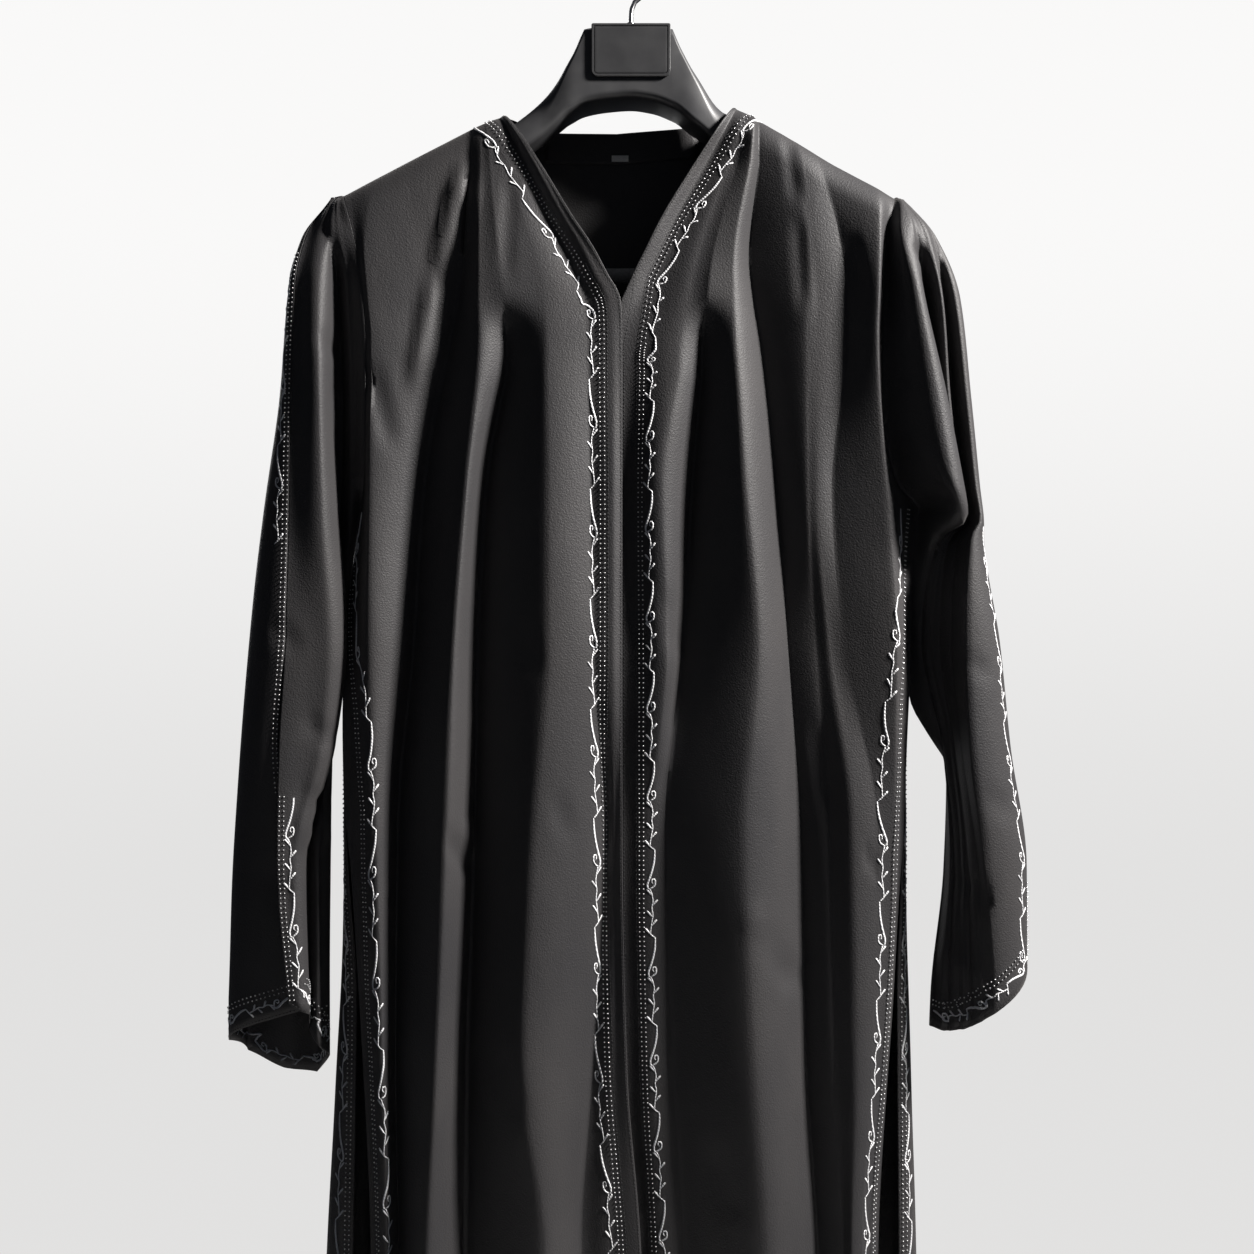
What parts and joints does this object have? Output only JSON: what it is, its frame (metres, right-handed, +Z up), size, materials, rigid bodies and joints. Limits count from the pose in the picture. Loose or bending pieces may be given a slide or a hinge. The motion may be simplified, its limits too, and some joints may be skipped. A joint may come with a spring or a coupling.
{
  "type": "open-front abaya on a suit hanger",
  "caption": "Open-front abaya with a V neck, long straight sleeves and side slits, hanging from a contoured plastic suit hanger with a steel hook and a trouser bar",
  "frame": {"origin": "The underside of the hook's top, where a rail holds it, midway through the hook's wire", "axes": "+X to the right of a viewer who faces the open front, +Y from the front to the back, +Z up. Left and right are that viewer's."},
  "size_m": [0.6534, 0.1136, 1.589],
  "materials": {
    "crepe": "black satin-faced crepe",
    "label_tape": "plain beige woven tape",
    "hanger_plastic": "dark grey moulded plastic, fine satin grain",
    "plate_plastic": "dark grey plate, soft gloss",
    "steel": "plated steel wire",
    "bar_felt": "flocked grey bar"
  },
  "bodies": {
    "root": {"back": "crepe", "front_left": "crepe", "front_right": "crepe", "placket": "crepe", "neck_facing": "crepe", "label": "label_tape", "sleeve_left_front": "crepe", "sleeve_left_back": "crepe", "sleeve_right_front": "crepe", "sleeve_right_back": "crepe", "hanger_body": "hanger_plastic", "hanger_plate": "plate_plastic", "hanger_hook": "steel", "hanger_bar": "bar_felt"}
  },
  "joints": []
}
